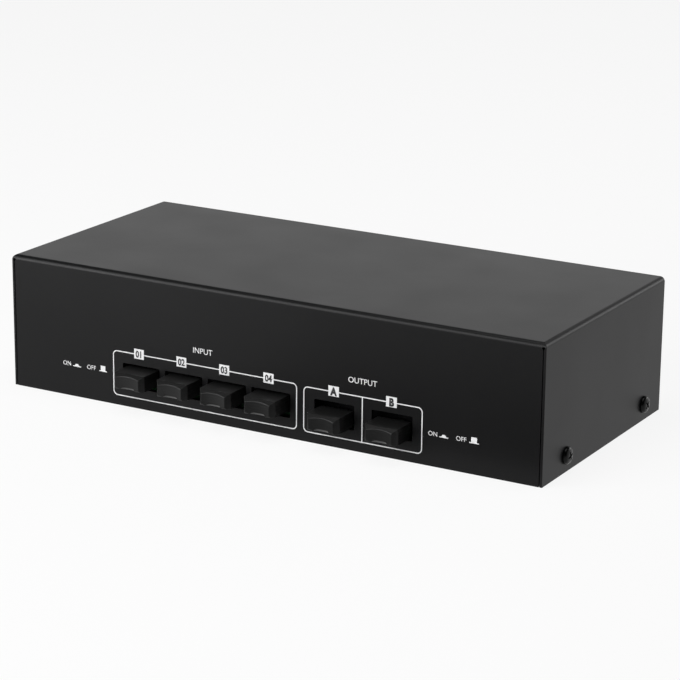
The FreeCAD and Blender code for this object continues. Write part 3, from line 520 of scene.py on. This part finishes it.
zinc = plated("zinc_plate", "#c3c4c2", 0.34)
black_zinc = plated("black_chromate", "#141415", 0.5)
spring_steel = plated("spring_steel", "#cdc9bd", 0.26)
housing_plastic = moulded("housing_nylon", "#202021", 0.5)
plunger_plastic = moulded("plunger_acetal", "#0f0f10", 0.4)
for bank, names in (("input", INPUTS), ("output", OUTPUTS)):
    hand_over(shape_of(f"{bank}_switch_housings", f"{bank}_housings", HOUSING_EDGE), "case",
              "switch_plastic", housing_plastic, f"{bank}_switch_housings")
    hand_over(shape_of(f"{bank}_bank_frame", f"{bank}_frame_sheet", SHEET_EDGE), "case", "black_steel",
              black_zinc, f"{bank}_bank_frame")
    low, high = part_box(f"{bank}_return_springs")
    radius = (high.z - low.z) / 2 - SPRING_WIRE
    bpy.ops.object.select_all(action="DESELECT")
    bpy.ops.mesh.primitive_circle_add(vertices=WIRE_STEPS, radius=SPRING_WIRE)
    coil = bpy.context.object
    upright = Matrix.Rotation(math.radians(90), 4, "X")
    coil.data.transform(Matrix.Translation((radius, 0, SPRING_WIRE)) @ upright)
    wind = coil.modifiers.new("wind", "SCREW")
    wind.screw_offset = (high.y - low.y - 2 * SPRING_WIRE) / SPRING_TURNS
    wind.iterations = SPRING_TURNS
    wind.steps = SPRING_STEPS
    wind.render_steps = SPRING_STEPS
    bpy.ops.object.modifier_apply(modifier=wind.name)
    bpy.ops.object.mode_set(mode="EDIT")
    bpy.ops.mesh.select_all(action="SELECT")
    bpy.ops.mesh.normals_make_consistent()
    bpy.ops.object.mode_set(mode="OBJECT")
    bpy.ops.object.shade_smooth()
    level = (low.z + high.z) / 2
    outer = radius + SPRING_WIRE
    middles = [low.x + outer + i * (high.x - low.x - 2 * outer) / (len(names) - 1)
               for i in range(len(names))]
    for n, x in zip(names, middles):
        spring = repeat(coil, f"{bank}_spring_{n}", [pointing((x, low.y, level), (0, 1, 0))])
        hand_over(spring, "case", "spring_steel", spring_steel, f"{bank}_return_springs")
        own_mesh(spring)
    bpy.data.objects.remove(coil)
    for n in names:
        hand_over(shape_of(f"{bank}_plunger_{n}", f"{bank}_stem_{n}", STEM_EDGE), f"{bank}_key_{n}",
                  "plunger_plastic", plunger_plastic, f"{bank}_plunger_{n}")
hand_over(shape_of("interlock_bar", "release_bar", SHEET_EDGE), "interlock_bar", "plated_steel", zinc,
          "interlock_bar")

# Boards: two glass-laminate circuit boards in green solder mask, joined by a black pin header and
# carried on plated posts with pan-head screws. MIDDLE_POST is how far the post between the front two
# stands to the right of the middle and behind those two.
BOARD_EDGE = 0.05 * mm
POST_EDGE = 0.1 * mm
PAN_HEAD = (2.75 * mm, 2.0 * mm)
BOARD_SCREW_LENGTH = 5 * mm
MIDDLE_POST = (17.2 * mm, 6 * mm)


def solder_mask():
    """Green solder mask over long copper tracks: glossy, and darker over the bare laminate between
    them. The tracks are drawn 2.5 mm apart, wider than real ones, so that they show."""
    material, tree, place = new_material("solder_mask")
    tracks = add(tree, "TexBrick", {"Scale": 1 / mm, "Brick Width": 65.0, "Row Height": 2.5,
                                    "Mortar Size": 0.4, "Mortar Smooth": 0.2, "offset": 0.37,
                                    "Color1": colour("#146029"), "Color2": colour("#125726"),
                                    "Mortar": colour("#0d4a1f")}, Vector=place)
    board = add(tree, "BsdfPrincipled", {"Roughness": 0.3, "IOR": 1.5},
                Base_Color=tracks.outputs["Color"])
    finish_with(tree, board.outputs["BSDF"])
    return material


mask = solder_mask()
header_plastic = moulded("header_nylon", "#1a1a1a", 0.45)
for node, name in (("switch_board", "main_board"), ("terminal_board", "rear_board")):
    hand_over(shape_of(node, name, BOARD_EDGE), "case", "circuit_board", mask, node)
hand_over(shape_of("board_header", "pin_header", POST_EDGE), "case", "terminal_plastic", header_plastic,
          "board_header")
hand_over(shape_of("board_standoffs", "board_posts", POST_EDGE), "case", "plated_steel", zinc,
          "board_standoffs")
low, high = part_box("board_screws")
reach, head_height = PAN_HEAD
board_top = high.z - head_height
model = domed_screw("board_screw", *PAN_HEAD, SHANK, BOARD_SCREW_LENGTH)
left, right = low.x + reach, high.x - reach
near, far = low.y + reach, high.y - reach
spots = [(left, near), (right, near), (MIDDLE_POST[0], near + MIDDLE_POST[1]),
         (left, far), (0, far), (right, far)]
places = [pointing((x, y, board_top), (0, 0, 1), turn=0.4 * k) for k, (x, y) in enumerate(spots)]
hand_over(repeat(model, "post_screws", places), "case", "plated_steel", zinc, "board_screws")
bpy.data.objects.remove(model)

# Terminals: six black blocks on the rear panel. Each has four square wire ports under press levers,
# nickel-plated contacts inside, and two black screws. As seen from the front, the red levers are on
# the left of each block and the black ones on the right.
LEVER_EDGE = 0.25 * mm
BLOCK_EDGE = 0.2 * mm
CLIP_EDGE = 0.05 * mm
BLOCK_SCREW_LENGTH = 7 * mm
BLOCK_SCREW_SPREAD = 30 * mm
MARK_CAP = 1.8 * mm
MARK_DROP = 2.8 * mm
block_plastic = moulded("block_abs", "#1c1c1d", 0.5, grain=0.35 * mm, strength=0.1)
red = moulded("lever_red_abs", "#b3161b", 0.28)
black = moulded("lever_black_abs", "#18181a", 0.28)
for name in BLOCKS:
    node = f"terminal_block_{name}"
    hand_over(shape_of(node, f"{node}_body", BLOCK_EDGE), "case", "terminal_plastic", block_plastic,
              node)
    for row in ("upper", "lower"):
        for side_name, plastic, slot in (("left", red, "lever_red"), ("right", black, "lever_black")):
            node = f"lever_{name}_{row}_{side_name}"
            hand_over(shape_of(node, f"{node}_tab", LEVER_EDGE), node, slot, plastic, node)
hand_over(shape_of("terminal_contacts", "wire_clips", CLIP_EDGE), "case", "spring_steel", spring_steel,
          "terminal_contacts")
low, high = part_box("terminal_screws")
seat = high.y - head_height
model = domed_screw("block_screw", *PAN_HEAD, SHANK, BLOCK_SCREW_LENGTH)
first = low.x + reach
last = high.x - reach
pitch = (last - first - BLOCK_SCREW_SPREAD) / (len(BLOCKS) - 1)
level = (low.z + high.z) / 2
places = [pointing((first + i * pitch + k * BLOCK_SCREW_SPREAD, seat, level), (0, 1, 0),
                   turn=0.5 * i + 0.6 * k)
          for i in range(len(BLOCKS)) for k in (0, 1)]
hand_over(repeat(model, "block_screws", places), "case", "black_screw", blackened, "terminal_screws")
bpy.data.objects.remove(model)
marks = []
for name, text in zip(BLOCKS, ("1", "2", "3", "4", "A", "B")):
    low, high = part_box(f"terminal_block_{name}")
    marks.append(lettering("mark", text, (low.x + high.x) / 2, high.z - MARK_DROP, MARK_CAP,
                           rear=high.y))
hand_over(joined("terminal_marks", marks), "case", "terminal_plastic", pale_ink)

# Studio: a plain white floor that keeps the shadow, white walls that fade into a darker ceiling and
# into a dark corner at the front right, a grey card on the floor and soft lamps. WALL_TOP is the sine
# of the elevation where the wall fades, and CORNER is X less Y where the corner starts and is full.
FLOOR_SIZE = 8.0
FLOOR_DROP = 0.05 * mm
SHADOW_SHARE = 0.12
AMBIENT = 0.36
AIM = (0, 0, 0.03)
WALL_TOP = (0.34, 0.55)
CEILING = 0.15
CORNER = (0.75, 1.15)
CORNER_LEVEL = 0.1
CARD_MIDDLE = (0.135, -0.115)
CARD_SIZE = (0.33, 0.09)
CARD_RISE = 0.2 * mm


def combined(tree, operation, first, second):
    """The result of a Math node on two outputs."""
    node = add(tree, "Math", {"operation": operation})
    tree.links.new(first, node.inputs[0])
    tree.links.new(second, node.inputs[1])
    return node.outputs["Value"]


def seen_directly(tree):
    """1 on camera rays and on rays that reach the studio by reflection or through glass."""
    rays = add(tree, "LightPath")
    direct = rays.outputs["Is Camera Ray"]
    for kind in ("Is Glossy Ray", "Is Transmission Ray"):
        direct = combined(tree, "MAXIMUM", direct, rays.outputs[kind])
    return direct


def floor_white():
    """Matt white card. The camera sees it nearly white, with the object's shadow kept."""
    material, tree, _ = new_material("white_card")
    card = add(tree, "BsdfDiffuse", {"Color": colour("#ececec")})
    glow = add(tree, "Emission", {"Color": (1, 1, 1, 1), "Strength": 1.0})
    kept = add(tree, "MixShader", {"Fac": 1 - SHADOW_SHARE})
    tree.links.new(card.outputs["BSDF"], kept.inputs[1])
    tree.links.new(glow.outputs["Emission"], kept.inputs[2])
    seen = add(tree, "MixShader", Fac=seen_directly(tree))
    tree.links.new(card.outputs["BSDF"], seen.inputs[1])
    tree.links.new(kept.outputs["Shader"], seen.inputs[2])
    finish_with(tree, seen.outputs["Shader"])
    return material


bpy.ops.object.select_all(action="DESELECT")
bpy.ops.mesh.primitive_plane_add(size=FLOOR_SIZE)
floor = bpy.context.object
floor.name = "floor"
floor.data.transform(Matrix.Translation((0, 0, -FLOOR_DROP)))
floor.data.materials.append(floor_white())

# Only reflections see the card. It keeps the keys' right ends dark.
grey_card, tree, _ = new_material("grey_card")
finish_with(tree, add(tree, "BsdfDiffuse", {"Color": colour("#989898")}).outputs["BSDF"])
bpy.ops.object.select_all(action="DESELECT")
bpy.ops.mesh.primitive_plane_add(size=1)
card = bpy.context.object
card.name = "grey_card"
card.data.transform(Matrix.Translation((*CARD_MIDDLE, CARD_RISE)) @ Matrix.Diagonal((*CARD_SIZE, 1, 1)))
card.data.materials.append(grey_card)
card.visible_camera = False
card.visible_diffuse = False
card.visible_shadow = False

world = bpy.data.worlds.new("studio")
bpy.context.scene.world = world
world.use_nodes = True
tree = world.node_tree
tree.nodes.clear()
level = add(tree, "MapRange", {"To Min": AMBIENT, "To Max": 1.0}, Value=seen_directly(tree))
along = add(tree, "SeparateXYZ", Vector=add(tree, "TexCoord").outputs["Generated"])
wall = add(tree, "MapRange", {"From Min": WALL_TOP[0], "From Max": WALL_TOP[1], "To Min": 1.0,
                              "To Max": CEILING}, Value=along.outputs["Z"])
rightness = combined(tree, "SUBTRACT", along.outputs["X"], along.outputs["Y"])
corner = add(tree, "MapRange", {"From Min": CORNER[0], "From Max": CORNER[1], "To Min": 1.0,
                                "To Max": CORNER_LEVEL}, Value=rightness)
unseen = combined(tree, "MAXIMUM", corner.outputs["Result"],
                  add(tree, "LightPath").outputs["Is Camera Ray"])
strength = combined(tree, "MULTIPLY", level.outputs["Result"], wall.outputs["Result"])
strength = combined(tree, "MULTIPLY", strength, unseen)
sky = add(tree, "Background", {"Color": (1, 1, 1, 1)}, Strength=strength)
add(tree, "OutputWorld", Surface=sky.outputs["Background"])


def softbox(name, where, towards, size, power):
    """A rectangular lamp that points at a place and that the camera doesn't see."""
    lamp = bpy.data.lights.new(name, "AREA")
    lamp.shape = "RECTANGLE"
    lamp.size, lamp.size_y = size
    lamp.energy = power
    holder = bpy.data.objects.new(name, lamp)
    bpy.context.scene.collection.objects.link(holder)
    holder.matrix_world = pointing(where, Vector(where) - Vector(towards))
    holder.visible_camera = False
    return holder


softbox("key_light", (-0.45, -0.85, 0.5), AIM, (1.1, 0.6), 10)
softbox("top_light", (0, -0.1, 1.4), AIM, (1.0, 1.0), 9)
softbox("rim_light", (0.6, 1.0, 0.3), AIM, (0.6, 0.3), 1.5)
# The last lamp shows only in reflections, as a sheen on the left of the front.
sheen_light = softbox("sheen_light", (-0.34, -0.42, 0.1), (-0.12, -0.06, 0.03), (0.2, 0.16), 0.8)
sheen_light.visible_diffuse = False

# Camera: in front of the case's right side and a little above it, as in the photograph.
CAMERA_PLACE = (0.4944, -0.8611, 0.3210)
CAMERA_RIGHT = Vector((0.866873, 0.498429, 0.009964))
CAMERA_UP = Vector((-0.151139, 0.243711, 0.957999))
CAMERA_BACK = Vector((0.475066, -0.831970, 0.286598))
LENS = 136.6
SENSOR = 36
NEAREST = 0.05
camera = bpy.data.objects.new("camera", bpy.data.cameras.new("camera"))
bpy.context.scene.collection.objects.link(camera)
camera.data.lens = LENS
camera.data.sensor_width = SENSOR
camera.data.clip_start = NEAREST
turn = Matrix((CAMERA_RIGHT, CAMERA_UP, CAMERA_BACK)).transposed().to_4x4()
camera.matrix_world = Matrix.Translation(CAMERA_PLACE) @ turn
bpy.context.scene.camera = camera
bpy.context.scene.view_settings.view_transform = "Standard"
